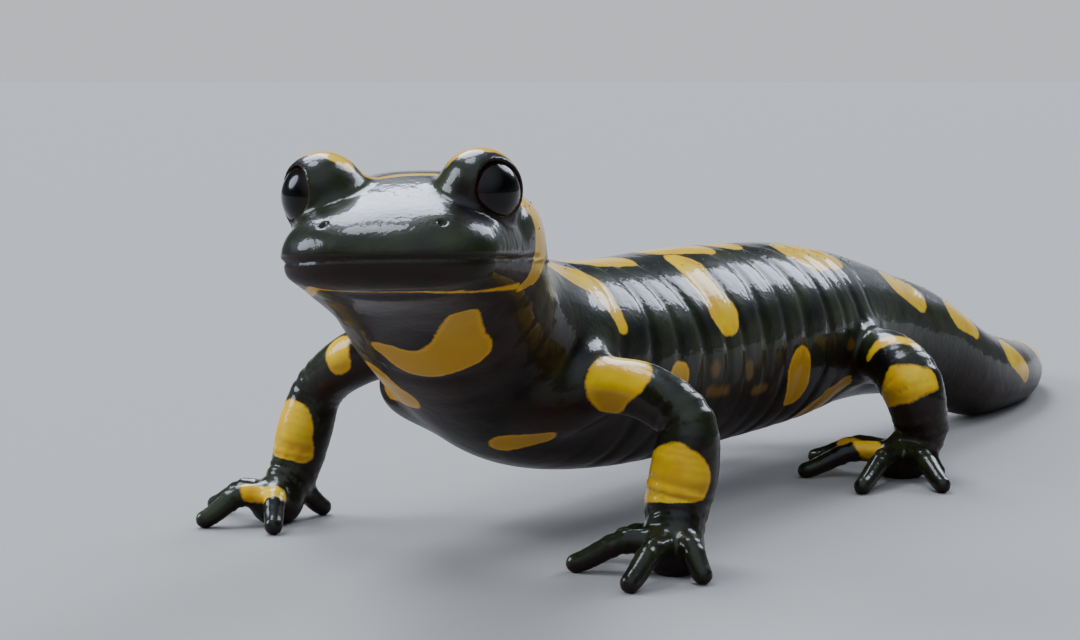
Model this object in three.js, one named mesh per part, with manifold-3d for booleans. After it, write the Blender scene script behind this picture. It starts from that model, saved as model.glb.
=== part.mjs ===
// A fire salamander at life size, standing still on all four feet, its head raised and turned to its left.
// Millimetres, +Z up, the head towards -Y and the animal's left towards +X. The pose is laid out from a point
// on the floor under the shoulders; the last lines put the origin under the middle of the animal's box.
import * as THREE from "three";
import { mergeVertices } from "three/addons/utils/BufferGeometryUtils.js";
import Module from "manifold-3d";

const wasm = await Module();
wasm.setup();

// ---------------------------------------------------------------- driving dimensions
const GAP = 0.3; // left between nodes that touch
const EYE_GAP = 0.2; // between an eye and its socket
const HEAD_WIDTH = 19.6; // across the corners of the jaw
const HEAD_LENGTH = 28; // the head's own form, which ends inside the neck
const TRUNK_WIDTH = 20.8; // at the middle of the belly
const EYE_RADIUS = 2.6;
const MOUTH_LENGTH = 16; // from the snout's tip back to the corner of the mouth
const MOUTH_GROOVE = [0.5, 0.36]; // its depth and its height
const COSTAL_GROOVES = 12; // on each flank, between the fore and hind legs
const COSTAL_DEPTH = 0.4;
const BOX_MIDDLE = [-1.7, 52.4]; // the middle of the animal's box, from the point under its shoulders

// Stations along the body's own axis, from a point inside the head, where one node ends and the next begins.
const GULAR_FOLD = 19.5;
const SHOULDER_FOLD = 29.5;
const TAIL_ROOT = 103;
const TAIL_LENGTHS = [TAIL_ROOT, 131, 161]; // where each of the three begins

// Sides of the lofted forms, and how far apart their rings are.
const BODY_SIDES = 24;
const TAIL_SIDES = 18;
const HEAD_SIDES = 28;
const LIMB_SIDES = 16;
const TOE_SIDES = 8;
const RING_STEP = { neck: 2.2, hip: 2.6, tail: 2.6, head: 2, limb: 2, toe: 2.3 };
const MERGE_WITHIN = 1e-4; // corners closer than this are one
const SLIVER = 0.03; // edges shorter than this, left by a union or a cut, are closed up

// ---------------------------------------------------------------- the pose
// The body from inside the head to the tail's tip: x, y and height of its axis, then its half width and its reach
// above and below the axis.
const HALF_TRUNK = TRUNK_WIDTH / 2;
const BODY_ROWS = [
  [9, -33, 27.5, 5.8, 2.5, 2.2],
  [6.5, -27, 27, 8.3, 4.5, 4.4],
  [3.5, -19.5, 25.5, 9.1, 6.9, 7.2],
  [0.5, -10, 21, 9.2, 7.9, 8.8],
  [0, 0, 17, 9.8, 8.8, 10.3],
  [1, 12, 15, 10.2, 9.6, 10.4],
  [2, 29.5, 14.5, HALF_TRUNK, 10.2, 10.3],
  [3.5, 47, 14.5, 10.0, 9.7, 10.0],
  [4.5, 58.5, 14, 8.5, 8.6, 8.8],
  [6.5, 69.5, 12.5, 6.8, 7.3, 7.3],
  [8.5, 79, 10.5, 5.9, 6.5, 6.5],
  [11, 91, 6, 4.9, 5.4, 5.6],
  [11.5, 101.5, 4.5, 4.2, 4.5, 4.6],
  [10, 113.5, 3.5, 3.5, 3.8, 3.8],
  [6, 125, 3, 2.9, 3.1, 3.1],
  [-2, 135.5, 2, 2.1, 2.3, 2.3],
  [-9, 141, 1.5, 1.35, 1.5, 1.5],
  [-12, 143.5, 1.2, 0.7, 0.8, 0.8],
];
// The same rows, each behind its station: how far it lies along the axis, in straight lines from row to row.
let reached = 0;
const BODY = BODY_ROWS.map((row, i) => {
  if (i > 0) reached += new THREE.Vector3(...row).distanceTo(new THREE.Vector3(...BODY_ROWS[i - 1]));
  return [reached, ...row];
});

// The head: where the snout's tip is at the height of the mouth, the way it faces and its lift.
const HEAD_AT = [10.7, -38.2, 28.4];
const HEAD_TURN = 22; // degrees to its own left
const HEAD_LIFT = 5; // degrees, snout up
const HEAD_ROLL = 1.7; // degrees, its left side up

// Each leg's own axis, as x, y, height and radius: root, shoulder, middle of the upper part, elbow or knee,
// middle of the lower part, wrist or ankle, and palm. Then the tips of its toes on the floor, as x and y.
const ELBOW = 3;
const WRIST = 5;
const LEGS = {
  front_left: {
    names: ["upper_arm", "forearm", "hand"],
    path: [
      [4.9, -1.2, 15.6, 2.8],
      [11.2, -3.4, 15.1, 2.5],
      [16.2, -4.4, 14.7, 2.5],
      [20.2, -5.1, 12.4, 2.5],
      [20.3, -5.5, 8.8, 2.95],
      [19.9, -6.2, 5.4, 2.8],
      [20.7, -8.2, 2.3, 2.0],
    ],
    toes: [[12.4, -6.6], [13.2, -12.0], [20.9, -16.7], [24.6, -10.8]],
  },
  front_right: {
    names: ["upper_arm", "forearm", "hand"],
    path: [
      [-4.6, -0.6, 17.2, 3.0],
      [-10.4, -2.2, 17.2, 2.8],
      [-15.4, -3.0, 15.7, 2.65],
      [-20.2, -2.3, 12.4, 2.4],
      [-21.4, -3.2, 8.3, 2.65],
      [-22.0, -4.0, 4.8, 2.35],
      [-22.4, -6.4, 2.2, 1.8],
    ],
    toes: [[-20.6, -1.4], [-18.9, -11.6], [-26.4, -12.2], [-30.4, -5.4]],
  },
  hind_left: {
    names: ["thigh", "shank", "foot"],
    path: [
      [5.5, 58.5, 12.9, 3.4],
      [13.0, 53.6, 12.0, 3.1],
      [17.6, 49.6, 11.8, 3.1],
      [20.4, 47.6, 9.9, 3.3],
      [21.3, 47.7, 7.2, 3.0],
      [21.3, 48.4, 4.7, 2.75],
      [19.8, 47.0, 2.3, 1.9],
    ],
    toes: [[8.6, 50.2], [11.4, 41.0], [20.2, 35.0], [27.0, 39.8], [23.6, 47.4]],
  },
  hind_right: {
    names: ["thigh", "shank", "foot"],
    path: [
      [2.5, 59.5, 13.5, 3.6],
      [-4.8, 56.8, 12.8, 3.3],
      [-10.4, 53.8, 12.2, 3.15],
      [-13.8, 53.2, 9.8, 3.3],
      [-15.4, 54.6, 7.2, 3.0],
      [-16.1, 55.5, 4.8, 2.7],
      [-16.8, 53.8, 2.3, 1.9],
    ],
    toes: [[-8.6, 50.6], [-10.8, 45.4], [-16.6, 42.0], [-23.0, 43.8], [-25.6, 50.6]],
  },
};
const PALM = { front: [2.4, 2.2, 1.75], hind: [3.0, 2.9, 1.9] };
const PALM_HEIGHT = 1.6;
const TOE = { root: 1.2, knuckle: 1.05, pad: 0.9, tip: 0.85, arch: 2.7 };
const TOE_ROOTS = 0.4; // where toes begin, as a share of the palm's reach from its middle

// ---------------------------------------------------------------- smooth tables and lofts
const TINY = 0.2; // a short way along a curve, to find where it heads

// A table's row of values at any station, on a smooth curve through its rows.
function read(table, at) {
  const last = table.length - 1;
  const x = THREE.MathUtils.clamp(at, table[0][0], table[last][0]);
  let i = 0;
  while (i < last - 1 && x > table[i + 1][0]) i += 1;
  const span = table[i + 1][0] - table[i][0];
  const t = (x - table[i][0]) / span;
  const slope = (row, column) => {
    const before = table[Math.max(row - 1, 0)];
    const after = table[Math.min(row + 1, last)];
    return (after[column] - before[column]) / (after[0] - before[0]);
  };
  return table[i].slice(1).map((value, k) => {
    const column = k + 1;
    const next = table[i + 1][column];
    const rise = next - value;
    const start = slope(i, column) * span;
    const end = slope(i + 1, column) * span;
    return value + t * start + t * t * (3 * rise - 2 * start - end) + t ** 3 * (start + end - 2 * rise);
  });
}

// Evenly spaced stations from one to another, about a step apart, with both ends.
function stations(from, to, step) {
  const count = Math.max(1, Math.round((to - from) / step));
  return Array.from({ length: count + 1 }, (_, i) => from + ((to - from) * i) / count);
}

// A closed surface over one ring of points for each station, each end drawn to its own middle.
function loft(places, sides, pointAt) {
  const points = [];
  for (const place of places)
    for (let k = 0; k < sides; k += 1) points.push(pointAt(place, (2 * Math.PI * k) / sides));
  const middle = (first) =>
    points
      .slice(first, first + sides)
      .reduce((sum, p) => sum.add(p), new THREE.Vector3())
      .divideScalar(sides);
  const lastRing = (places.length - 1) * sides;
  points.push(middle(0), middle(lastRing));
  const faces = [];
  for (let k = 0; k < sides; k += 1) {
    const next = (k + 1) % sides;
    for (let ring = 0; ring < lastRing; ring += sides) {
      faces.push([ring + k, ring + next, ring + sides + k]);
      faces.push([ring + next, ring + sides + next, ring + sides + k]);
    }
    faces.push([points.length - 2, next, k], [points.length - 1, lastRing + k, lastRing + next]);
  }
  const volume = faces.reduce((sum, [a, b, c]) => sum + points[a].dot(points[b].clone().cross(points[c])), 0);
  return new THREE.BufferGeometry()
    .setFromPoints(points)
    .setIndex(faces.flatMap(([a, b, c]) => (volume < 0 ? [a, c, b] : [a, b, c])));
}

// ---------------------------------------------------------------- solids
function solid(geometry, place = new THREE.Matrix4()) {
  const bare = new THREE.BufferGeometry().setAttribute("position", geometry.getAttribute("position").clone());
  bare.setIndex(geometry.index);
  const merged = mergeVertices(bare.applyMatrix4(place), MERGE_WITHIN);
  const mesh = new wasm.Mesh({
    numProp: 3,
    vertProperties: new Float32Array(merged.attributes.position.array),
    triVerts: new Uint32Array(merged.index.array),
  });
  return new wasm.Manifold(mesh);
}

// The largest closed surface of a solid, without loose scraps or a sealed hollow.
function largest(body) {
  return body.decompose().sort((a, b) => b.volume() - a.volume())[0];
}

const join = (bodies) => bodies.reduce((sum, next) => sum.add(next));

// The part of a body that lies ahead of a plane, or behind it, half a gap clear.
const ahead = (body, point, normal) => body.trimByPlane(normal.toArray(), point.dot(normal) + GAP / 2);
const behind = (body, point, normal) =>
  body.trimByPlane(normal.clone().negate().toArray(), -point.dot(normal) + GAP / 2);

const standsOnFloor = (body) => body.trimByPlane([0, 0, 1], 0);

const mirrored = (side, [x, y, z]) => [side * x, y, z];

function ellipsoid(center, radii, columns = 14, rows = 10) {
  return new THREE.SphereGeometry(1, columns, rows).scale(...radii).translate(...center);
}

// A round form along a smooth path of rows of x, y, z and radius, with rounded ends.
const ROUND_END = [68, 34].map(THREE.MathUtils.degToRad);
function tube(path, sides, step) {
  let length = 0;
  const table = path.map((row, i) => {
    const before = new THREE.Vector3(...path[Math.max(i - 1, 0)]);
    length += before.distanceTo(new THREE.Vector3(...row));
    return [length, ...row];
  });
  const center = (at) => new THREE.Vector3(...read(table, at));
  const places = [
    ...ROUND_END.map((angle) => [0, -Math.sin(angle), Math.cos(angle)]),
    ...stations(0, length, step).map((at) => [at, 0, 1]),
    ...ROUND_END.map((angle) => [length, Math.sin(angle), Math.cos(angle)]).reverse(),
  ];
  const side = new THREE.Vector3(0, 0, 1).cross(center(TINY).sub(center(0)));
  const rings = places.map(([at, beyond, share]) => {
    const radius = read(table, at)[3];
    const along = center(at + TINY).sub(center(at - TINY)).normalize();
    side.addScaledVector(along, -side.dot(along)).normalize();
    return {
      middle: center(at).addScaledVector(along, beyond * radius),
      across: side.clone().multiplyScalar(share * radius),
      over: along.clone().cross(side).multiplyScalar(share * radius),
    };
  });
  return loft(rings, sides, ({ middle, across, over }, angle) =>
    middle.clone().addScaledVector(across, Math.cos(angle)).addScaledVector(over, Math.sin(angle)),
  );
}

// ---------------------------------------------------------------- the body's axis and girth
function axisAt(station) {
  const point = new THREE.Vector3(...read(BODY, station));
  const along = new THREE.Vector3(...read(BODY, station + TINY))
    .sub(new THREE.Vector3(...read(BODY, station - TINY)))
    .normalize();
  const left = along.clone().cross(new THREE.Vector3(0, 0, 1)).normalize();
  return { point, along, left, up: left.clone().cross(along) };
}

// How far the flank is drawn in at a station by the nearest costal groove.
const GROOVES_FROM = 40;
const GROOVES_TO = 93;
const GROOVE_PITCH = (GROOVES_TO - GROOVES_FROM) / COSTAL_GROOVES;
const FLANK_FULLNESS = 0.7; // how far a groove reaches round the body before it fades
function groove(station) {
  if (station < GROOVES_FROM || station > GROOVES_TO) return 0;
  return COSTAL_DEPTH * (0.5 - 0.5 * Math.cos((2 * Math.PI * (station - GROOVES_FROM)) / GROOVE_PITCH));
}

function bodyPoint(station, angle, grow = 0) {
  const { point, left, up } = axisAt(station);
  const [width, above, below] = read(BODY, station).slice(3);
  const flank = Math.abs(Math.cos(angle)) ** FLANK_FULLNESS;
  const inset = grow - groove(station) * flank;
  const height = Math.sin(angle) > 0 ? above : below;
  return point
    .addScaledVector(left, (width + inset) * Math.cos(angle))
    .addScaledVector(up, (height + inset) * Math.sin(angle));
}

// The rings of the body fall on the middles and the edges of the grooves.
const TRUNK_FORM_ENDS = 120; // beyond the root of the tail, where the trunk is parted
const NECK_RINGS = stations(0, GROOVES_FROM, RING_STEP.neck);
const FLANK_RINGS = stations(GROOVES_FROM, GROOVES_TO, GROOVE_PITCH / 2);
const HIP_RINGS = stations(GROOVES_TO, TRUNK_FORM_ENDS, RING_STEP.hip);
const BODY_RINGS = [...NECK_RINGS, ...FLANK_RINGS.slice(1), ...HIP_RINGS.slice(1)];

// The breast muscles bulge beside the roots of the arms.
const BREAST = { at: [6.3, -2.8, 14.1], radii: [4.4, 7.3, 3.7] };
function breast(grow = 0) {
  const radii = BREAST.radii.map((radius) => radius + grow);
  return [1, -1].map((side) => solid(ellipsoid(mirrored(side, BREAST.at), radii)));
}

const bodyLoft = (rings, sides, grow = 0) =>
  loft(rings, sides, (station, angle) => bodyPoint(station, angle, grow));

// ---------------------------------------------------------------- the head, in its own frame
// x is to the animal's left, y runs back from the snout's tip, and z is up from the line of the mouth.
const headPlace = new THREE.Matrix4()
  .makeTranslation(...HEAD_AT)
  .multiply(new THREE.Matrix4().makeRotationZ(THREE.MathUtils.degToRad(HEAD_TURN)))
  .multiply(new THREE.Matrix4().makeRotationX(THREE.MathUtils.degToRad(-HEAD_LIFT)))
  .multiply(new THREE.Matrix4().makeRotationY(THREE.MathUtils.degToRad(-HEAD_ROLL)));

const HALF_HEAD = HEAD_WIDTH / 2;
// Distance back, half width, height over the mouth and depth under it.
const HEAD_GIRTH = [
  [0, 7.4, 2.8, 2.1],
  [4, 8.4, 4.1, 2.5],
  [8, 8.95, 5.6, 3.0],
  [12, 9.3, 6.8, 3.4],
  [16, 9.6, 7.4, 3.7],
  [20, HALF_HEAD, 7.2, 3.5],
  [24, 9.0, 5.8, 2.8],
  [HEAD_LENGTH, 6.4, 3.2, 1.4],
];
// How far back from the snout's tip each outline is rounded, and its fullness.
const SNOUT = { outline: [5, 2.2], bridge: [6, 2.6], chin: [2.5, 2] };
const SQUARE = { above: 2.4, below: 3.0 };
const LIP = 0.25; // how far the upper lip stands out over the lower

function rounded(y, [reach, fullness]) {
  const left = Math.max(0, 1 - y / reach);
  return (1 - left ** fullness) ** (1 / fullness);
}

function headPoint(y, angle) {
  const [width, above, below] = read(HEAD_GIRTH, y);
  const upper = Math.sin(angle) > 0;
  const power = 2 / (upper ? SQUARE.above : SQUARE.below);
  const halfWidth = width * rounded(y, SNOUT.outline) - (Math.sin(angle) < -0.01 ? LIP : 0);
  const height = upper ? above * rounded(y, SNOUT.bridge) : below * rounded(y, SNOUT.chin);
  const bend = (value) => Math.sign(value) * Math.abs(value) ** power;
  return new THREE.Vector3(halfWidth * bend(Math.cos(angle)), y, height * bend(Math.sin(angle)));
}

// Rings that crowd together on the rounded snout.
const SNOUT_RINGS = [0.04, 0.25, 0.7, 1.3, 2.1, 3.1, 4.3];
const HEAD_RINGS = [...SNOUT_RINGS, ...stations(6, HEAD_LENGTH, RING_STEP.head)];
const headLoft = () => loft(HEAD_RINGS, HEAD_SIDES, headPoint);

// Along the mouth, a slab without its middle.
function mouthGroove() {
  const [depth, height] = MOUTH_GROOVE;
  const slab = new THREE.BoxGeometry(2 * HEAD_WIDTH, MOUTH_LENGTH + depth, height);
  const inner = headLoft().scale(1 - depth / HALF_HEAD, 1, 1).translate(0, depth, 0);
  return solid(slab.translate(0, (MOUTH_LENGTH - depth) / 2, 0), headPlace).subtract(solid(inner, headPlace));
}

const EYE = { x: 6.65, y: 9.6, z: 5.2 };
const BROW = { at: [6.3, 10.2, 5.7], radii: [3.2, 4.2, 3.15] };
const GLAND = { at: [7.2, 18.6, 2.6], radii: [2.6, 5.8, 2.6], turn: 0.1 };
const NOSTRIL = { at: [4.6, 2.5, 2.7], radii: [0.5, 0.6, 0.45] };
const GAZE = new THREE.Vector3(0.69, -0.71, 0.12).normalize(); // of the left eye
const LID = { thickness: 0.4, opening: [2.75, 2.3], setBack: 0.4 };
const eyeAt = (side) => mirrored(side, [EYE.x, EYE.y, EYE.z]);
const gazeOf = (side) => new THREE.Vector3(...mirrored(side, GAZE.toArray()));

// The opening between the lids: an oval cutter across the eye, facing the way it looks.
function lidOpening(side) {
  const across = new THREE.Vector3(0, 0, 1).cross(gazeOf(side)).normalize();
  const turn = new THREE.Matrix4().makeBasis(across, gazeOf(side).cross(across), gazeOf(side));
  const center = new THREE.Vector3(...eyeAt(side)).addScaledVector(gazeOf(side), EYE_RADIUS);
  const cutter = new THREE.SphereGeometry(1, 16, 10).scale(...LID.opening, EYE_RADIUS);
  return cutter.applyMatrix4(turn).translate(...center);
}

function headSolid() {
  const added = [solid(headLoft(), headPlace), solid(bodyLoft(NECK_RINGS, BODY_SIDES)), ...breast()];
  const cut = [mouthGroove()];
  for (const side of [1, -1]) {
    const lids = new THREE.Vector3(...eyeAt(side)).addScaledVector(gazeOf(side), -LID.setBack).toArray();
    const lidRadius = EYE_RADIUS + EYE_GAP + LID.thickness;
    const gland = ellipsoid([0, 0, 0], GLAND.radii, 12, 10)
      .rotateZ(side * GLAND.turn)
      .translate(...mirrored(side, GLAND.at));
    added.push(solid(ellipsoid(mirrored(side, BROW.at), BROW.radii), headPlace));
    added.push(solid(ellipsoid(lids, Array(3).fill(lidRadius)), headPlace));
    added.push(solid(gland, headPlace));
    cut.push(solid(ellipsoid(eyeAt(side), Array(3).fill(EYE_RADIUS + EYE_GAP)), headPlace));
    cut.push(solid(lidOpening(side), headPlace));
    cut.push(solid(ellipsoid(mirrored(side, NOSTRIL.at), NOSTRIL.radii, 8, 6), headPlace));
  }
  return cut.reduce((body, cutter) => body.subtract(cutter), join(added));
}

// ---------------------------------------------------------------- legs
// A toe runs from inside the palm over a knuckle to its tip on the floor.
function toe(palm, tip, reach) {
  const middle = new THREE.Vector3(palm[0], palm[1], 0);
  const end = new THREE.Vector3(...tip, 0);
  const heading = end.clone().sub(middle).normalize();
  const start = middle.addScaledVector(heading, reach * TOE_ROOTS);
  const row = (share, height, radius) => [...start.clone().lerp(end, share).setZ(height).toArray(), radius];
  const path = [
    row(0, 0.9 * TOE.arch, TOE.root),
    row(0.45, TOE.arch, TOE.knuckle),
    row(0.9, 1.2 * TOE.pad, TOE.pad),
    row(1, 0.95 * TOE.tip, TOE.tip),
  ];
  return solid(tube(path, TOE_SIDES, RING_STEP.toe));
}

// One leg, from inside the body to the toes, parted at the elbow or knee and at the wrist or ankle.
function leg(name, { names, path, toes }, around) {
  const palmRadii = name.startsWith("front") ? PALM.front : PALM.hind;
  const palm = path[path.length - 1];
  const heading = new THREE.Vector3(...palm).sub(new THREE.Vector3(...path[WRIST]));
  const pad = ellipsoid([0, 0, 0], palmRadii, 12, 8)
    .rotateZ(Math.atan2(heading.y, heading.x) - Math.PI / 2)
    .translate(palm[0], palm[1], PALM_HEIGHT);
  const digits = toes.map((tip) => toe(palm, tip, palmRadii[1]));
  const whole = join([solid(tube(path, LIMB_SIDES, RING_STEP.limb)), solid(pad), ...digits]);
  const [bend, foot] = [ELBOW, WRIST].map((i) => ({
    point: new THREE.Vector3(...path[i]),
    along: new THREE.Vector3(...path[i + 1]).sub(new THREE.Vector3(...path[i - 1])).normalize(),
  }));
  const outside = largest(whole.subtract(around));
  const lower = ahead(outside, bend.point, bend.along);
  const pieces = [
    behind(outside, bend.point, bend.along),
    behind(lower, foot.point, foot.along),
    standsOnFloor(ahead(lower, foot.point, foot.along)),
  ];
  return pieces.map((piece, i) => [`${name}_${names[i]}`, largest(piece)]);
}

// ---------------------------------------------------------------- materials
const finish = (name, color, roughness) => {
  const made = new THREE.MeshStandardMaterial({ color, roughness, metalness: 0 });
  made.name = name;
  return made;
};
const SKIN = finish("skin", 0x15160f, 0.25);
const EYE_GLOSS = finish("eye", 0x0c0907, 0.05);

// ---------------------------------------------------------------- assembly
const nodes = [];

const front = headSolid();
const gular = axisAt(GULAR_FOLD);
const shoulder = axisAt(SHOULDER_FOLD);
const tailRoot = axisAt(TAIL_ROOT);
nodes.push(["head", largest(behind(front, gular.point, gular.along))]);
nodes.push(["neck", largest(behind(ahead(front, gular.point, gular.along), shoulder.point, shoulder.along))]);

for (const [name, side] of [["eye_left", 1], ["eye_right", -1]])
  nodes.push([name, solid(ellipsoid(eyeAt(side), Array(3).fill(EYE_RADIUS)), headPlace)]);

const trunk = join([solid(bodyLoft(BODY_RINGS, BODY_SIDES)), ...breast()]);
nodes.push(["torso", behind(ahead(trunk, shoulder.point, shoulder.along), tailRoot.point, tailRoot.along)]);

["tail_base", "tail_middle", "tail_tip"].forEach((name, i) => {
  const ends = TAIL_LENGTHS[i + 1] ?? reached;
  const rings = stations(TAIL_LENGTHS[i] + GAP / 2, ends - GAP / 2, RING_STEP.tail);
  nodes.push([name, largest(standsOnFloor(solid(bodyLoft(rings, TAIL_SIDES))))]);
});

const aroundTrunk = join([solid(bodyLoft(BODY_RINGS, BODY_SIDES, GAP)), ...breast(GAP)]);
for (const [name, form] of Object.entries(LEGS)) nodes.push(...leg(name, form, aroundTrunk));

const salamander = new THREE.Group();
salamander.name = "fire_salamander";
for (const [name, body] of nodes) {
  const { numProp, vertProperties, triVerts } = body.asOriginal().simplify(SLIVER).getMesh();
  const corners = Array.from({ length: vertProperties.length / numProp }, (_, i) =>
    new THREE.Vector3().fromArray(vertProperties, i * numProp),
  );
  const geometry = new THREE.BufferGeometry().setFromPoints(corners).setIndex(Array.from(triVerts));
  geometry.computeVertexNormals();
  const mesh = new THREE.Mesh(geometry, name.startsWith("eye") ? EYE_GLOSS : SKIN);
  mesh.name = name;
  salamander.add(mesh);
}
salamander.position.set(-BOX_MIDDLE[0], -BOX_MIDDLE[1], 0);

export default salamander;
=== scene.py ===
"""A fire salamander at life size, standing still with its head raised: its skin, eyes and glands.

Shapes are worked out in millimetres from a point on the floor under the shoulders, the head towards -Y and the
animal's left towards +X, and are put into the frame in metres at the end.
"""

import math

import bpy
import numpy as np
from mathutils import Matrix, Vector


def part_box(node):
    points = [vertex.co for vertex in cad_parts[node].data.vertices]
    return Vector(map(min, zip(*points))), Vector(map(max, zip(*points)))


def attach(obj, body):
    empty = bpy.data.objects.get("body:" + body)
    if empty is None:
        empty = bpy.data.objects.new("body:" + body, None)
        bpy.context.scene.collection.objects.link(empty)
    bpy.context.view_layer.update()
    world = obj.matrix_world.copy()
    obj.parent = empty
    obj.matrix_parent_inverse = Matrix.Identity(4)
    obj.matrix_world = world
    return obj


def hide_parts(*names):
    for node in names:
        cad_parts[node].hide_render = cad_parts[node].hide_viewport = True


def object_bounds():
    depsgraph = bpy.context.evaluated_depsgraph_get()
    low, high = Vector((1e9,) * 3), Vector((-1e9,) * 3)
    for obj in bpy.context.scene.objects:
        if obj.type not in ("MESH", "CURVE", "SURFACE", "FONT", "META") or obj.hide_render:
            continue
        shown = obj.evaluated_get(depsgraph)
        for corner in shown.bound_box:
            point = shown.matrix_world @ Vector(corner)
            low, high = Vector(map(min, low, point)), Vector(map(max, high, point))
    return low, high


bl_info = {
    "name": "Fire Salamander",
    "version": (1, 0, 0),
    "blender": (4, 5, 0),
    "location": "View3D > Sidebar > Salamander",
    "description": "Makes a life-size fire salamander with moist, spotted skin",
    "category": "Add Mesh",
}

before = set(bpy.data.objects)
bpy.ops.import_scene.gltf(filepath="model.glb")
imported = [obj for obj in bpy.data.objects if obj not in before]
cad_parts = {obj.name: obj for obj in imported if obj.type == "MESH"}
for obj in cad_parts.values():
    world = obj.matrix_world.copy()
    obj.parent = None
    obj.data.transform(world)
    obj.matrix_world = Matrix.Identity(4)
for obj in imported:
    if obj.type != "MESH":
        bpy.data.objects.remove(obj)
CAD_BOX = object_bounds()
EYE_BOX = {side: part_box(f"eye_{side}") for side in ("left", "right")}

MM = 0.001
BOX_MIDDLE = np.array([-1.7, 52.4, 0.0])  # the middle of the animal's box, from the point under its shoulders

# ---------------------------------------------------------------- the pose and the girths, in millimetres
# The body from inside the head to the tail's tip: x, y and height of its axis, then its half width and its reach
# above and below the axis.
BODY_ROWS = [
    (9, -33, 27.5, 5.8, 2.5, 2.2),
    (6.5, -27, 27, 8.3, 4.5, 4.4),
    (3.5, -19.5, 25.5, 9.1, 6.9, 7.2),
    (0.5, -10, 21, 9.2, 7.9, 8.8),
    (0, 0, 17, 9.8, 8.8, 10.3),
    (1, 12, 15, 10.2, 9.6, 10.4),
    (2, 29.5, 14.5, 10.4, 10.2, 10.3),
    (3.5, 47, 14.5, 10.0, 9.7, 10.0),
    (4.5, 58.5, 14, 8.5, 8.6, 8.8),
    (6.5, 69.5, 12.5, 6.8, 7.3, 7.3),
    (8.5, 79, 10.5, 5.9, 6.5, 6.5),
    (11, 91, 6, 4.9, 5.4, 5.6),
    (11.5, 101.5, 4.5, 4.2, 4.5, 4.6),
    (10, 113.5, 3.5, 3.5, 3.8, 3.8),
    (6, 125, 3, 2.9, 3.1, 3.1),
    (-2, 135.5, 2, 2.1, 2.3, 2.3),
    (-9, 141, 1.5, 1.35, 1.5, 1.5),
    (-12, 143.5, 1.2, 0.45, 0.5, 0.5),
]
COSTAL_GROOVES = {"from": 40.0, "to": 93.0, "count": 12, "depth": 0.27}
BREAST = {"at": (6.3, -2.8, 14.1), "radii": (4.4, 7.3, 3.7)}

# The head: where the snout's tip is at the height of the mouth, and the way it faces.
HEAD_AT = (10.7, -38.19, 28.4)
HEAD_TURN, HEAD_LIFT, HEAD_ROLL = 22, 5, 1.7  # degrees: to its left, snout up, left side up

# Distance back from the snout's tip, half width, height over the mouth and depth under it.
HEAD_GIRTH = [
    (0, 7.4, 2.8, 2.1),
    (4, 8.4, 4.1, 2.5),
    (8, 8.95, 5.6, 3.0),
    (12, 9.3, 6.8, 3.4),
    (16, 9.6, 7.4, 3.7),
    (20, 9.8, 7.2, 3.5),
    (24, 9.0, 5.8, 2.8),
    (28, 6.4, 3.2, 1.4),
]
HEAD_LENGTH = 28.0
SNOUT = {"outline": (5, 2.2), "bridge": (6, 2.6), "chin": (2.5, 2)}  # how far back each rounds, and its fullness
SQUARE = {"above": 2.4, "below": 3.0}
LIP = 0.25  # how far the upper lip stands out over the lower
BROW = {"at": (6.3, 10.2, 5.7), "radii": (3.2, 4.2, 3.04)}
GLAND = {"at": (7.2, 18.6, 2.6), "radii": (2.6, 5.8, 2.6), "turn": 0.1}
NOSTRIL = {"at": (4.6, 2.5, 2.7), "radii": (0.33, 0.38, 0.28)}
EYE_AT = (6.65, 9.6, 5.2)
GAZE = (0.69, -0.71, 0.12)  # of the left eye
LID = {"radius": 3.2, "set_back": 0.4, "opening": (2.42, 2.14)}

# Each leg's own axis, as x, y, height and radius: root, shoulder or hip, middle of the upper part, elbow or knee,
# middle of the lower part, wrist or ankle, and palm. Then the tips of its toes on the floor.
LEGS = {
    "front_left": {
        "path": [
            (4.9, -1.2, 15.6, 2.8),
            (11.2, -3.4, 15.1, 2.5),
            (16.2, -4.4, 14.7, 2.5),
            (20.2, -5.1, 12.4, 2.5),
            (20.3, -5.5, 8.8, 2.95),
            (19.9, -6.2, 5.4, 2.8),
            (20.7, -8.2, 2.3, 2.0),
        ],
        "toes": [(12.4, -6.6), (13.2, -12.0), (20.9, -16.7), (24.6, -10.8)],
    },
    "front_right": {
        "path": [
            (-4.6, -0.6, 17.2, 3.0),
            (-10.4, -2.2, 17.2, 2.8),
            (-15.4, -3.0, 15.7, 2.65),
            (-20.2, -2.3, 12.4, 2.4),
            (-21.4, -3.2, 8.3, 2.65),
            (-22.0, -4.0, 4.8, 2.35),
            (-22.4, -6.4, 2.2, 1.8),
        ],
        "toes": [(-20.6, -1.4), (-18.9, -11.6), (-26.4, -12.2), (-30.4, -5.4)],
    },
    "hind_left": {
        "path": [
            (5.5, 58.5, 12.9, 3.4),
            (13.0, 53.6, 12.0, 3.1),
            (17.6, 49.6, 11.8, 3.1),
            (20.4, 47.6, 9.9, 3.3),
            (21.3, 47.7, 7.2, 3.0),
            (21.3, 48.4, 4.7, 2.75),
            (19.8, 47.0, 2.3, 1.9),
        ],
        "toes": [(8.6, 50.2), (11.4, 41.0), (20.2, 35.0), (26.96, 39.8), (23.6, 47.4)],
    },
    "hind_right": {
        "path": [
            (2.5, 59.5, 13.5, 3.6),
            (-4.8, 56.8, 12.8, 3.3),
            (-10.4, 53.8, 12.2, 3.15),
            (-13.8, 53.2, 9.8, 3.3),
            (-15.4, 54.6, 7.2, 3.0),
            (-16.1, 55.5, 4.8, 2.7),
            (-16.8, 53.8, 2.3, 1.9),
        ],
        "toes": [(-8.6, 50.6), (-10.8, 45.4), (-16.6, 42.0), (-23.0, 43.8), (-25.6, 50.6)],
    },
}
ELBOW, WRIST = 3, 5
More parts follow.
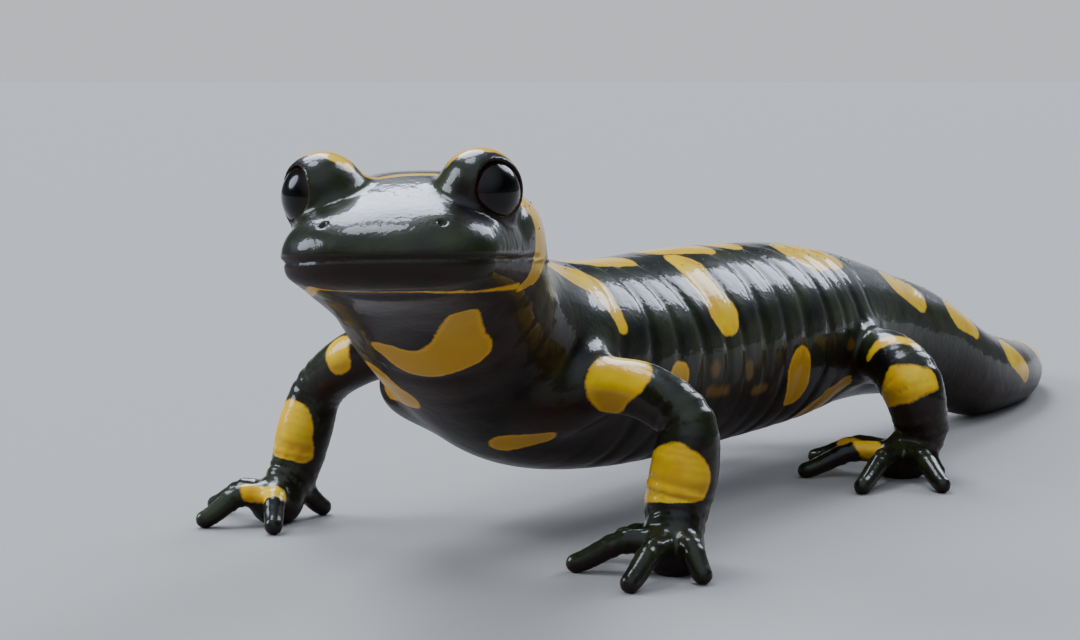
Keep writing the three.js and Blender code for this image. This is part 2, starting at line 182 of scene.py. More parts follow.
PALM = {"front": (2.4, 2.2, 1.75), "hind": (3.0, 2.9, 1.9)}
PALM_HEIGHT = 1.6
TOE = {"root": 1.2, "knuckle": 1.05, "pad": 0.9, "tip": 0.85, "arch": 2.7}
TOE_ROOTS = 0.4  # how far out in the palm a toe starts, as a share of the palm's reach
TIP_SET_BACK = 0.3  # how far before the axis's end the ball lies that rounds the tail's tip

# Folds of the skin. Across the throat: station, depth and width. Round a wrist, an elbow and a toe's middle: depth
# and reach, and how far apart they lie.
THROAT_FOLDS = [(19.0, 0.12, 1.0), (23.5, 0.05, 0.9)]
LIMB_FOLDS = {"wrist": (0.11, 1.9), "elbow": (0.06, 2.0), "pitch": 1.35}
TOE_FOLDS = {"depth": 0.06, "reach": 0.16, "rate": 36}
MOUTH = {"depth": 0.2, "width": 0.2, "rise": 0.02, "corner": (17.5, 15.5)}
EYE_SOCKET = 1.8  # the radius of its floor
# How wide the fillet is where each form meets the rest.
FILLET = {"tip": 0.4, "breast": 2.0, "head": 2.2, "gland": 1.4, "brow": 1.5, "lid": 0.6, "rim": 0.22}
FILLET.update({"palm": 1.6, "toes": 0.8, "toe": 0.35})

# The skin's grid is finest round the eyes, and widens evenly beyond: centre in the head's frame, and radii.
FINE = {"at": (0, 9.0, 3.0), "radius": 10, "fade": 12, "slope": 2.1}
HALF_DIAGONAL, STEEPEST = 0.87, 2.6  # of a unit cube, and how fast the field may change on that grid

# The camera: how far it stands before the point under the shoulders, and beside it, above the floor, and the way
# it looks, in degrees.
CAMERA = {"before": 209.5, "beside": 2.4, "height": 41.7, "bearing": 30, "down": 5.96}


# ---------------------------------------------------------------- smooth tables
class Curve:
    """A smooth curve through rows of a station and its values, read at any stations."""

    STEP = 0.1

    def __init__(self, rows):
        rows = np.array(rows, float)
        x, y = rows[:, 0], rows[:, 1:]
        slope = np.gradient(y, axis=0)
        slope[1:-1] = (y[2:] - y[:-2]) / (x[2:] - x[:-2])[:, None]
        slope[0] /= x[1] - x[0]
        slope[-1] /= x[-1] - x[-2]
        self.start, self.end = x[0], x[-1]
        at = np.linspace(self.start, self.end, math.ceil((self.end - self.start) / self.STEP) + 1)
        i = np.clip(np.searchsorted(x, at) - 1, 0, len(x) - 2)
        span = (x[i + 1] - x[i])[:, None]
        t = (at - x[i])[:, None] / span
        rise, begin, finish = y[i + 1] - y[i], slope[i] * span, slope[i + 1] * span
        self.table = y[i] + t * begin + t**2 * (3 * rise - 2 * begin - finish) + t**3 * (begin + finish - 2 * rise)
        self.step = (self.end - self.start) / (len(at) - 1)

    def __call__(self, at):
        place = (np.clip(at, self.start, self.end) - self.start) / self.step
        i = np.minimum(place.astype(int), len(self.table) - 2)
        t = (place - i)[..., None]
        return self.table[i] * (1 - t) + self.table[i + 1] * t


def unit(v):
    return v / np.maximum(np.linalg.norm(v, axis=-1, keepdims=True), 1e-12)


def smoothstep(low, high, x):
    t = np.clip((x - low) / (high - low), 0, 1)
    return t * t * (3 - 2 * t)


def hump(x, width):
    """1 at 0, falling away smoothly over a width."""
    return np.exp(-((x / width) ** 2))


# ---------------------------------------------------------------- distances, negative inside
FAR = 50.0
MARGIN = 6.0  # a form is measured only this far round its own box


def blend_min(a, b, k):
    """The union of two forms, with a fillet about k wide where they meet."""
    h = np.clip(0.5 + 0.5 * (b - a) / k, 0, 1)
    return b + (a - b) * h - k * h * (1 - h)


def blend_max(a, b, k):
    return -blend_min(-a, -b, k)


def ellipsoid(p, radii):
    radii = np.array(radii)
    inner = np.linalg.norm(p / radii, axis=1)
    outer = np.linalg.norm(p / radii**2, axis=1)
    return inner * (inner - 1) / np.maximum(outer, 1e-9)


def near(p, low, high):
    return np.all((p > np.array(low) - MARGIN) & (p < np.array(high) + MARGIN), axis=1)


class Chain:
    """A round form along a smooth path of rows of x, y, z and radius."""

    def __init__(self, path, step=0.6):
        rows = np.array(path, float)
        lengths = np.r_[0, np.cumsum(np.linalg.norm(np.diff(rows, axis=0), axis=1))]
        self.rows_at = lengths
        self.length = lengths[-1]
        self.curve = Curve(np.c_[lengths, rows])
        self.at = np.linspace(0, self.length, max(3, round(self.length / step) + 1))
        self.points = self.curve(self.at)
        centres, radii = self.points[:, :3], self.points[:, 3:]
        self.low = (centres - radii).min(0)
        self.high = (centres + radii).max(0)

    def distance(self, p):
        """The distance, and how far along the path the nearest point of the axis is."""
        best = np.full(len(p), FAR)
        along = np.zeros(len(p))
        for i in range(len(self.points) - 1):
            (a, ra), (b, rb) = [(row[:3], row[3]) for row in self.points[i : i + 2]]
            ab = b - a
            t = np.clip((p - a) @ ab / (ab @ ab), 0, 1)
            d = np.linalg.norm(p - a - t[:, None] * ab, axis=1) - (ra + t * (rb - ra))
            closer = d < best
            best = np.where(closer, d, best)
            along = np.where(closer, self.at[i] + t * (self.at[i + 1] - self.at[i]), along)
        return best, along

    def lay(self, p, side):
        """How far along the axis each point is, and how far round it in degrees."""
        _, along = self.distance(p)
        for _ in range(3):
            shift = (p - self.curve(along)[:, :3]) * unit(self.curve(along + 0.3) - self.curve(along - 0.3))[:, :3]
            along = np.clip(along + 0.7 * shift.sum(1), 0, self.length)
        ends = [self.curve(np.clip(along + shift, 0, self.length))[:, :3] for shift in (-0.3, 0.3)]
        ahead = unit(ends[1] - ends[0])
        forward = np.array([0, -1.0, 0])
        forward = unit(forward - ahead * (ahead @ forward)[:, None])
        out = p - self.curve(along)[:, :3]
        over = np.sum(out * np.cross(forward, ahead), axis=1) * side
        return along, np.degrees(np.arctan2(over, np.sum(out * forward, axis=1)))

    def radius(self, along):
        return self.curve(along)[..., 3]


class Body:
    """Neck, trunk and tail along the spine, without the head."""

    def __init__(self):
        rows = np.array(BODY_ROWS, float)
        lengths = np.linalg.norm(np.diff(rows[:, :3], axis=0), axis=1)
        station = np.concatenate([[0], np.cumsum(lengths)])  # how far along the axis each row lies
        self.axis = Curve(np.column_stack([station, rows[:, :3]]))
        self.girth = Curve(np.column_stack([station, rows[:, 3:]]))
        rows = self.axis.table
        self.by_y = (rows[:, 1], np.linspace(self.axis.start, self.axis.end, len(rows)))
        self.low = rows.min(0) - 12
        self.high = rows.max(0) + 12

    def frame_at(self, station):
        along = unit(self.axis(station + 0.2) - self.axis(station - 0.2))
        left = unit(np.cross(along, [0, 0, 1.0]))
        return self.axis(station), along, left, np.cross(left, along)

    def station(self, p):
        s = np.interp(p[:, 1], *self.by_y)
        for _ in range(4):
            along = unit(self.axis(s + 0.2) - self.axis(s - 0.2))
            s = np.clip(s + np.sum((p - self.axis(s)) * along, axis=1), self.axis.start, self.axis.end)
        return s

    def groove(self, s, turn):
        """How deep the furrows between the ribs are. They wander a little, and fade out on the back and belly."""
        g = COSTAL_GROOVES
        pitch = (g["to"] - g["from"]) / g["count"]
        phase = (s - g["from"]) / pitch + 0.1 * np.sin(3.1 * turn + 0.9 * s / pitch) + 0.08 * np.sin(0.53 * s)
        ends = smoothstep(-0.5, 0.5, phase) * smoothstep(-0.5, 0.5, g["count"] - phase)
        valley = (0.5 + 0.5 * np.cos(2 * np.pi * phase)) ** 4
        uneven = 0.75 + 0.25 * np.sin(2.3 * np.floor(phase + 0.5) + 1.7 * turn)
        flank = smoothstep(0.1, 0.6, np.abs(np.cos(turn)))
        return ends * flank * (g["depth"] * uneven * valley - 0.08)

    def distance(self, p):
        s = self.station(p)
        centre, along, left, up = self.frame_at(s)
        u, v, w = [np.sum((p - centre) * d, axis=1) for d in (left, up, along)]
        width, above, below = self.girth(s).T
        inset = self.groove(s, np.arctan2(v, u))
        a, b = width - inset, np.where(v > 0, above, below) - inset
        inner, outer = np.hypot(u / a, v / b), np.hypot(u / a**2, v / b**2)
        d = inner * (inner - 1) / np.maximum(outer, 1e-9)
        return np.where(np.abs(w) > 0.3, np.hypot(np.maximum(d, 0), w), d), s, np.arctan2(v, u)

    def lay(self, p):
        s = self.station(p)
        centre, _, left, up = self.frame_at(s)
        width, above, below = self.girth(s).T
        v = np.sum((p - centre) * up, axis=1)
        turn = np.arctan2(v / np.where(v > 0, above, below), np.sum((p - centre) * left, axis=1) / width)
        return s, np.degrees(turn)

    def radius(self, station):
        return self.girth(station)[..., :2].mean(-1)


class Head:
    """The head in its own frame: x to the animal's left, y back from the snout's tip, z up from the mouth."""

    def __init__(self):
        turn, lift, roll = [math.radians(a) for a in (HEAD_TURN, -HEAD_LIFT, -HEAD_ROLL)]
        rotation = Matrix.Rotation(turn, 3, "Z") @ Matrix.Rotation(lift, 3, "X") @ Matrix.Rotation(roll, 3, "Y")
        self.axes = np.array(rotation)
        self.girth = Curve(HEAD_GIRTH)
        middle = self.outside(np.array([[0, 14.0, 0]]))[0]
        self.low, self.high = middle - 18, middle + 18

    def inside(self, p):
        return (p - np.array(HEAD_AT)) @ self.axes

    def outside(self, q):
        return q @ self.axes.T + np.array(HEAD_AT)

    def fullness(self, q):
        """1 on the plain head's surface and less inside."""
        x, y, z = q.T
        width, above, below = self.girth(y).T
        upper = z > 0
        width = width - LIP * smoothstep(0.1, -0.25, z)
        across, over = np.abs(x) / width, np.abs(z) / np.where(upper, above, below)
        power = np.where(upper, SQUARE["above"], SQUARE["below"])
        section = (across**power + over**power) ** (1 / power)
        side = across**2 / np.maximum(across**2 + over**2, 1e-9)
        profile = np.where(upper, SNOUT["bridge"][0], SNOUT["chin"][0])
        reach = side * SNOUT["outline"][0] + (1 - side) * profile
        fullness = np.where(upper, SNOUT["bridge"][1], SNOUT["chin"][1])
        bulge = side * SNOUT["outline"][1] + (1 - side) * fullness
        ahead = np.maximum((reach - y) / reach, 0)
        behind = np.maximum((y - HEAD_LENGTH) / 5, 0)
        return ((section**bulge + ahead**bulge) ** (1 / bulge)) + behind

    def form(self, q):
        step = 0.05
        value = self.fullness(q)
        slope = [(self.fullness(q + step * axis) - value) / step for axis in np.eye(3)]
        return np.maximum((value - 1) / np.maximum(np.linalg.norm(slope, axis=0), 0.05), -6)


def eye_frame(side):
    """The eye's centre, the way it looks, and across and up its opening, in the head's frame."""
    centre = np.array(EYE_AT) * (side, 1, 1)
    gaze = unit(np.array(GAZE) * (side, 1, 1))
    across = unit(np.cross([0, 0, 1.0], gaze))
    return centre, gaze, across, np.cross(gaze, across)


def toe_path(palm, reach, tip):
    """A toe runs from inside the palm over a knuckle to its tip on the floor."""
    middle, end = np.array([palm[0], palm[1]]), np.array(tip)
    start = middle + unit(end - middle) * reach * TOE_ROOTS
    rows = [
        (0, 0.9 * TOE["arch"], TOE["root"]),
        (0.45, TOE["arch"], TOE["knuckle"]),
        (0.9, 1.2 * TOE["pad"], TOE["pad"]),
        (1, 0.95 * TOE["tip"], TOE["tip"]),
    ]
    return [(*(start + (end - start) * share), height, radius) for share, height, radius in rows]


class Leg:
    """A leg with its hand or foot and its toes."""

    def __init__(self, name, form):
        self.side = 1 if name.endswith("left") else -1
        self.limb = Chain(form["path"])
        self.reach = PALM["front" if name.startswith("front") else "hind"]
        self.palm = form["path"][-1]
        self.heading = unit(np.subtract(self.palm, form["path"][WRIST])[:2])
        self.toes = [Chain(toe_path(self.palm, self.reach[1], tip), 0.4) for tip in form["toes"]]
        forms = [self.limb, *self.toes]
        self.low = np.min([form.low for form in forms], axis=0)
        self.high = np.max([form.high for form in forms], axis=0)
        self.wrist = self.limb.rows_at[WRIST]
        self.elbow = self.limb.rows_at[ELBOW]

    def distance(self, p):
        """The distance, and how wide a fillet joins it to the body: wide at its root, none further out."""
        limb, along = self.limb.distance(p)
        (wrist, wrist_reach), (elbow, elbow_reach) = LIMB_FOLDS["wrist"], LIMB_FOLDS["elbow"]
        fold = wrist * hump(along - self.wrist, wrist_reach) + elbow * hump(along - self.elbow, elbow_reach)
        limb = limb + fold * np.cos(along * 2 * np.pi / LIMB_FOLDS["pitch"])
        flat = p[:, :2] - np.array(self.palm[:2])
        ahead = flat @ self.heading
        aside = flat @ np.array([-self.heading[1], self.heading[0]])
        palm = ellipsoid(np.c_[aside, ahead, p[:, 2] - PALM_HEIGHT], self.reach)
        whole = blend_min(limb, palm, FILLET["palm"])
        toes = np.full(len(p), FAR)
        for toe in self.toes:
            inside = np.all((p > toe.low - 2) & (p < toe.high + 2), axis=1)
            if inside.any():
                d, at = toe.distance(p[inside])
                middle = at / toe.length - 0.5
                d += TOE_FOLDS["depth"] * hump(middle, TOE_FOLDS["reach"]) * np.cos(middle * TOE_FOLDS["rate"])
                toes[inside] = blend_min(toes[inside], d, FILLET["toe"])
        whole = np.where(toes < 3, blend_min(whole, toes, FILLET["toes"]), whole)
        return whole, 0.35 + 2.3 * smoothstep(self.elbow, 0.45 * self.elbow, along)


BODY, HEAD = Body(), Head()
LEG_FORMS = {name: Leg(name, form) for name, form in LEGS.items()}


def head_distance(q):
    """The head with its brows, glands, lids, nostrils and mouth."""
    d = HEAD.form(q)
    for side in (1, -1):
        turned = q - np.array(GLAND["at"]) * (side, 1, 1)
        c, s = math.cos(GLAND["turn"] * side), math.sin(GLAND["turn"] * side)
        turned = np.c_[turned[:, 0] * c + turned[:, 1] * s, turned[:, 1] * c - turned[:, 0] * s, turned[:, 2]]
        d = blend_min(d, ellipsoid(turned, GLAND["radii"]), FILLET["gland"])
        brow = ellipsoid(q - np.array(BROW["at"]) * (side, 1, 1), BROW["radii"])
        d = blend_min(d, brow, FILLET["brow"])
        centre, gaze, _, _ = eye_frame(side)
        lid = np.linalg.norm(q - centre + gaze * LID["set_back"], axis=1) - LID["radius"]
        d = blend_min(d, lid, FILLET["lid"])
    x, y, z = q.T
    mouth = hump(z - MOUTH["rise"] * np.maximum(y - 10, 0), MOUTH["width"]) * smoothstep(*MOUTH["corner"], y)
    d = d + MOUTH["depth"] * mouth
    for side in (1, -1):
        centre, gaze, across, up = eye_frame(side)
        r = q - centre
        h, v, c = r @ across, r @ up, r @ gaze
        opening = (np.hypot(h / LID["opening"][0], v / LID["opening"][1]) - 1) * LID["opening"][1]
        floor = EYE_SOCKET - np.linalg.norm(r, axis=1)
        plug = np.maximum(np.maximum(opening, floor), -c)
        d = blend_max(d, -plug, FILLET["rim"])
        nostril = ellipsoid(q - np.array(NOSTRIL["at"]) * (side, 1, 1), NOSTRIL["radii"])
        d = blend_max(d, -nostril, FILLET["rim"])
    return d


def skin_distance(p, parts=False):
    """The distance from the whole skin in millimetres, and, if asked for, from each part alone."""
    d = np.full(len(p), FAR)
    alone = {}
    close = near(p, BODY.low, BODY.high)
    trunk = np.full(len(p), FAR)
    if close.any():
        body, s, angle = BODY.distance(p[close])
        for side in (1, -1):
            breast = ellipsoid(p[close] - np.array(BREAST["at"]) * (side, 1, 1), BREAST["radii"])
            body = blend_min(body, breast, FILLET["breast"])
        below = smoothstep(0.35, -0.35, np.sin(angle))
        for station, depth, width in THROAT_FOLDS:
            body = body + depth * hump(s - station, width) * below
        ball = BODY.axis(np.array([BODY.axis.end - TIP_SET_BACK]))[0]
        tip = np.linalg.norm(p[close] - ball, axis=1) - BODY_ROWS[-1][3]
        trunk[close] = blend_min(body, tip, FILLET["tip"])
    d = np.minimum(d, trunk)
    alone["trunk"] = trunk
    close = near(p, HEAD.low, HEAD.high)
    head = np.full(len(p), FAR)
    if close.any():
        head[close] = head_distance(HEAD.inside(p[close]))
        d[close] = blend_min(d[close], head[close], FILLET["head"])
    alone["head"] = head
    for name, leg in LEG_FORMS.items():
        close = near(p, leg.low, leg.high)
        alone[name] = np.full(len(p), FAR)
        if close.any():
            own, fillet = leg.distance(p[close])
            alone[name][close] = own
            d[close] = blend_min(d[close], own, fillet)
    d = np.maximum(d, -p[:, 2])
    return (d, alone) if parts else d


# ---------------------------------------------------------------- the skin's mesh
class Lens:
    """Widens space away from a centre, so that an even grid is finer near it."""

    def __init__(self, centre, fine_radius, fade, slope):
        self.centre = np.array(centre, float)
        self.at = np.linspace(0, 260, 2601)
        step = self.at[1]
        rate = 1 + (slope - 1) * smoothstep(fine_radius, fine_radius + fade, self.at)
        self.far = np.r_[0, np.cumsum((rate[1:] + rate[:-1]) / 2 * step)]

    def _scale(self, p, at, to):
        r = np.linalg.norm(p - self.centre, axis=1)
        return self.centre + (p - self.centre) * (np.interp(r, at, to) / np.maximum(r, 1e-9))[:, None]

    def spread(self, q):
        return self._scale(q, self.at, self.far)

    def gather(self, p):
        return self._scale(p, self.far, self.at)


def sample(field, low, counts, step, block=6):
    """The field on a grid, worked out only in the blocks that its surface may cross."""
    blocks = [math.ceil(n / block) for n in counts]
    corner = np.stack(np.meshgrid(*[np.arange(n) * block for n in blocks], indexing="ij"), -1).reshape(-1, 3)
    centre = field(low + (corner + (block - 1) / 2) * step)
    values = np.where(centre < 0, -1.0, 1.0).astype(np.float32)
    grid = values.reshape(blocks).repeat(block, 0).repeat(block, 1).repeat(block, 2)
    reach = block * step * HALF_DIAGONAL * STEEPEST
    inside = np.stack(np.meshgrid(*[np.arange(block)] * 3, indexing="ij"), -1).reshape(-1, 3)
    kept = corner[np.abs(centre) < reach]
    for start in range(0, len(kept), 4000):
        at = (kept[start : start + 4000, None] + inside).reshape(-1, 3)
        grid[tuple(at.T)] = field(low + at * step)
    return grid


def surface_nets(grid):
    """Corners and four-sided faces of the grid's zero surface, in grid steps."""
    inside = grid < 0
    corners = [(i, j, k) for i in (0, 1) for j in (0, 1) for k in (0, 1)]
    shape = [n - 1 for n in grid.shape]

    def shifted(values, offset):
        return values[tuple(slice(o, o + n) for o, n in zip(offset, shape))]

    count = sum(shifted(inside, c).astype(np.uint8) for c in corners)
    cells = np.argwhere((count > 0) & (count < 8))
    index = np.full(shape, -1, np.int64)
    index[tuple(cells.T)] = np.arange(len(cells))
    total, hits = np.zeros((len(cells), 3)), np.zeros(len(cells))
    values = {c: grid[tuple((cells + c).T)].astype(float) for c in corners}
    for a in corners:
        for axis in range(3):
            if a[axis]:
                continue
            b = tuple(v + (i == axis) for i, v in enumerate(a))
            va, vb = values[a], values[b]
            crossed = (va < 0) != (vb < 0)
            t = np.where(crossed, va / np.where(crossed, va - vb, 1), 0)
            place = np.array(a, float) + t[:, None] * np.eye(3)[axis]
            total += place * crossed[:, None]
            hits += crossed
    points = cells + total / hits[:, None]
    faces = []
    for axis in range(3):
        b, c = (axis + 1) % 3, (axis + 2) % 3
        first = [slice(None)] * 3
        second = [slice(None)] * 3
        first[axis], second[axis] = slice(0, -1), slice(1, None)
        edges = np.argwhere(inside[tuple(first)] != inside[tuple(second)])
        edges = edges[(edges[:, b] > 0) & (edges[:, c] > 0)]
        edges = edges[(edges[:, b] < shape[b]) & (edges[:, c] < shape[c])]
        ring = []
        for back in ((0, 0), (1, 0), (1, 1), (0, 1)):
            at = edges.copy()
            at[:, b] -= back[0]
            at[:, c] -= back[1]
            ring.append(index[tuple(at.T)])
        ring = np.stack(ring, 1)
        outward = inside[tuple(edges.T)]
        faces.append(np.where(outward[:, None], ring, ring[:, ::-1]))
    return points, np.concatenate(faces)


def slope_of(field, p, step=0.06):
    return np.stack([(field(p + step * axis) - field(p - step * axis)) / (2 * step) for axis in np.eye(3)], 1)


def settle(points, faces, field, rounds):
    """Evens out the faces along the surface, and brings each point onto it."""
    edges = np.concatenate([faces[:, [i, (i + 1) % 4]] for i in range(4)])
    edges = np.concatenate([edges, edges[:, ::-1]])
    degree = np.bincount(edges[:, 0], minlength=len(points))[:, None]
    for _ in range(rounds):
        around = np.stack([np.bincount(edges[:, 0], points[edges[:, 1], i], len(points)) for i in range(3)], 1)
        normal = unit(slope_of(field, points))
        shift = around / degree - points
        points = points + 0.6 * (shift - normal * np.sum(shift * normal, axis=1)[:, None])
        slope = slope_of(field, points)
        length = np.maximum(np.sum(slope**2, axis=1), 0.2)
        step = np.clip(field(points) / length, -0.3, 0.3)
        points = points - slope * step[:, None]
    return points


def to_frame(p):
    return (p - BOX_MIDDLE) * MM


def mesh_object(name, points, faces):
    mesh = bpy.data.meshes.new(name)
    mesh.vertices.add(len(points))
    mesh.vertices.foreach_set("co", np.asarray(points, np.float32).ravel())
    sides = faces.shape[1]
    mesh.loops.add(faces.size)
    mesh.loops.foreach_set("vertex_index", faces.astype(np.int32).ravel())
    mesh.polygons.add(len(faces))
    mesh.polygons.foreach_set("loop_start", np.arange(0, faces.size, sides, dtype=np.int32))
    mesh.polygons.foreach_set("use_smooth", np.ones(len(faces), bool))
    mesh.update(calc_edges=True)
    mesh.validate()
    made = bpy.data.objects.new(name, mesh)
    bpy.context.scene.collection.objects.link(made)
    return made


def underside(p, normal):
    """1 on the belly, the throat and under the jaw, 0 on the back."""
    q = HEAD.inside(p)
    jaw = smoothstep(0.1, -0.5, q[:, 2]) * smoothstep(20, 14, q[:, 1])
    return np.maximum(smoothstep(0.5, -0.5, normal[:, 2]), 0.8 * jaw)


def gland_share(p, alone):
    """Where the skin's glands open: on the swelling behind each eye, and in a row down each side of the back."""
    q = HEAD.inside(p)
    share = np.zeros(len(p))
    for side in (1, -1):
        share += hump(np.linalg.norm((q - np.array(GLAND["at"]) * (side, 1, 1)) / (4.2, 5.6, 4.2), axis=1), 0.75)
    share *= (q[:, 2] > 1.2) & (q[:, 1] > 12.5)
    s, turn = BODY.lay(p)
    rows = hump((np.abs(turn - 90) - 24) / 7, 1) * smoothstep(30, 36, s) * smoothstep(150, 120, s)
    return np.where(alone["trunk"] < 0.3, np.maximum(share, 0.45 * rows), share)


def write_attribute(piece, name, values):
    made = piece.data.attributes.new(name, "FLOAT", "POINT")
    made.data.foreach_set("value", np.asarray(values, np.float32))


# ---------------------------------------------------------------- the yellow markings
# Yellow patches, each laid on like a brush stroke through rows of how far along its part it is, how far round in
# degrees (0 to the body's left, 90 up; 0 to a leg's front, 90 outwards) and the half width of the stroke.
PATCHES = {
    "trunk": [
        # the hook on the throat, a short one before the right arm, and one under the breast
        [(14, -108, 1.6), (16, -92, 2.3), (14.5, -73, 2.6), (6.5, -60, 1.1)],
        [(21.5, -126, 1.4), (24.5, -116, 1.6), (28, -136, 0.9)],
        [(32.5, -70, 1.4), (33.5, -52, 1.2)],
        # from behind the head down the left side, and the next
        [(24, 60, 1.6), (33, 60, 2.2), (38.5, 50, 2.2), (40, 22, 0.9)],
        [(60, 64, 2.4), (58.5, 46, 2.1), (59, 29, 2.8)],
        # along the back
        [(41, 84, 1), (46, 82, 1.6), (51, 82, 2.2)],
        [(60, 88, 1.6), (67, 85, 2.6)],
        [(73.5, 86, 2.4)],
        [(83.5, 64, 3.2), (89.5, 64, 2.6)],
        # low on the left flank
        [(49, -6, 1.6)],
        [(73.6, -12, 2.3), (74.8, -27, 2.1)],
        [(87, -38, 2), (83, -52, 2.2)],
        # on the tail
        [(104.5, 52, 2.2), (108.5, 42, 2.2)],
        [(118, 42, 2.2), (122, 42, 1.8)],
        [(134, 36, 2.2), (139, 4, 1.3)],
        [(152, 58, 3), (157, 58, 2.6)],
        [(171, 66, 1.8), (178, 72, 2)],
        # the right side repeats the left's plan but not its shapes
        [(26, 126, 2.8), (36, 126, 3.4), (42.5, 150, 1.6)],
        [(56, 122, 3), (57, 146, 2.4)],
        [(71, 114, 3), (76, 116, 3.4)],
        [(87, 132, 3.2), (95, 126, 3.2)],
        [(70, 168, 2), (71.5, 184, 2.2)],
        [(49.5, 192, 2)],
        [(87.5, 182, 2.8)],
        [(110, 128, 3), (114, 132, 2.4)],
        [(128, 124, 2.6), (130, 140, 2)],
        [(146, 130, 2.8)],
        [(165, 126, 2.2)],
    ],
    "front_left": [
        [(9.2, 70, 1.9), (9.8, 30, 2.5), (9.2, -20, 1.5), (8.6, -50, 0.8)],
        [(21, 40, 1.6), (21.1, 10, 2.7), (21.5, -45, 2.3)],
    ],
    "front_right": [
        [(11.4, 32, 1.2), (11.5, -2, 1.1)],
        [(21, 66, 1.2), (21.8, 10, 2.6), (23.2, -38, 1.2)],
    ],
    "hind_left": [
        [(15.2, 0, 0.4), (15.5, 40, 0.6), (16.6, 86, 0.8)],
        [(19.8, -45, 1), (19.4, 10, 1.1), (19.8, 66, 0.6)],
    ],
    "hind_right": [
        [(13.5, 60, 1.8), (15, 82, 1.2)],
        [(20.5, 30, 1.6), (21, 70, 1.5)],
    ],
}
# Small ones low on the flank: real spots whose yellow is painted dull and brownish as painted shade.
PAINTED_SHADE_PATCHES = {
    "trunk": [
        [(85.3, -5, 0.6)],
        [(62.4, -5, 0.6), (62.8, -10, 0.6)],
        [(64.5, -20, 0.5), (67, -21, 0.5)],
        [(55.5, -3, 0.8)],
        [(55, -15, 0.5), (58.5, -17, 0.5)],
    ],
}
# Those of the head and the feet are strokes through x, y, z and radius that colour the skin they reach, for the
# head in its own frame.
STROKES = {
    "head": [
        # over the back of each lid, to the gland behind the eye and down to the corner of the jaw
        [(-7.4, 9.4, 8.6, 0.9), (-6.0, 9.2, 9.0, 1.0), (-4.9, 9.0, 8.3, 1.2), (-4.3, 8.9, 7.5, 0.9)],
        [(4.4, 8.4, 7.2, 0.5), (5.3, 8.7, 8.2, 0.8), (6.8, 9.2, 8.9, 1.0)]
        + [(8.0, 9.9, 8.7, 0.9), (8.9, 10.3, 7.8, 0.7), (9.3, 11.0, 6.8, 0.5)],
        [(8.0, 12.8, 6.6, 0.7), (9.0, 16.2, 4.6, 1.3), (9.8, 17.5, 2.8, 1.9), (10.0, 17.3, 0.8, 1.8)]
        + [(9.8, 16.0, -0.8, 1.2), (9.3, 14.4, -1.9, 0.8), (8.9, 12.8, -2.3, 0.4)],
        [(-7.8, 13.0, 6.6, 0.7), (-9.0, 16.8, 4.8, 1.5), (-9.6, 19.0, 2.8, 1.8), (-9.4, 20.0, 1.0, 1.2)],
        # along the lower edge of the jaw
        [(-8.0, 11.0, -2.4, 0.5), (-6.8, 7.0, -2.4, 0.45), (-5.6, 3.2, -2.1, 0.4), (-3.5, 3.0, -2.3, 0.25)]
        + [(-0.5, 3.5, -2.4, 0.16), (2.5, 3.8, -2.5, 0.16), (5.5, 4.8, -2.5, 0.22), (7.6, 8.4, -2.4, 0.25)]
        + [(8.9, 12.0, -2.2, 0.3)],
        # a thin line over the crown
        [(-3.2, 10.8, 6.8, 0.5), (-0.4, 12.2, 6.9, 0.55), (2.2, 12.6, 6.8, 0.5), (3.8, 11.6, 6.9, 0.4)],
    ],
    "front_right": [[(-23.8, -9.1, 3.1, 0.9), (-21.8, -9.6, 3.5, 1.3), (-20.0, -9.0, 3.3, 1.0)]],
    "hind_left": [[(12.4, 48.2, 3.0, 0.7), (14.5, 46.2, 3.2, 1.2), (16.6, 44.6, 3.3, 1.3), (18.2, 44.2, 3.1, 0.8)]],
}


def stroke_distance(p, rows):
    """How far each point is outside a stroke through rows of a place and a radius, in millimetres."""
    rows = np.array(rows, float)
    best = np.full(len(p), FAR)
    for a, b in zip(rows, rows[1:] if len(rows) > 1 else rows):
        ab = b[:-1] - a[:-1]
        t = np.clip((p - a[:-1]) @ ab / max(ab @ ab, 1e-9), 0, 1)
        width = a[-1] + t * (b[-1] - a[-1])
        best = blend_min(best, np.linalg.norm(p - a[:-1] - t[:, None] * ab, axis=1) - width, 0.6 * a[-1])
    return best


def unrolled(form, along, around, middle):
    """Places on a limb or the body, laid flat in millimetres about a middle that is given in degrees."""
    return np.stack([along, np.radians((around - middle + 180) % 360 - 180) * form.radius(along)], 1)


def marking_distance(p, alone, patches, strokes):
    """How far each point of the skin is outside the nearest marking, negative in it."""
    names = list(alone)
    owner = np.argmin(np.stack([alone[name] for name in names]), axis=0)
    d = np.full(len(p), 3.0)
    for name, group in patches.items():
        own = owner == names.index(name)
        if name == "trunk":
            own |= owner == names.index("head")
            form, (along, around) = BODY, BODY.lay(p[own])
        else:
            form = LEG_FORMS[name].limb
            along, around = form.lay(p[own], LEG_FORMS[name].side)
        for patch in group:
            at, turn, half_width = np.array(patch, float).T
            middle = turn.mean()
            rows = np.column_stack([unrolled(form, at, turn, middle), half_width])
            d[own] = np.minimum(d[own], stroke_distance(unrolled(form, along, around, middle), rows))
    for name, group in strokes.items():
        own = owner == names.index(name)
        place = HEAD.inside(p[own]) if name == "head" else p[own]
        for rows in group:
            d[own] = np.minimum(d[own], stroke_distance(place, rows))
    return d


# ---------------------------------------------------------------- materials
BACK_WALL = (-0.5, 0.87, 0)  # the way to the palest wall of the room
WALL_REACH = (17, 34)  # how far round from there it is full and has ended, in degrees
CEILING_REACH = (77, 82)  # the same from straight overhead, for the ceiling
WET = {"IOR": 1.4, "Coat IOR": 1.34}  # of skin, and of the film of slime or tears on it
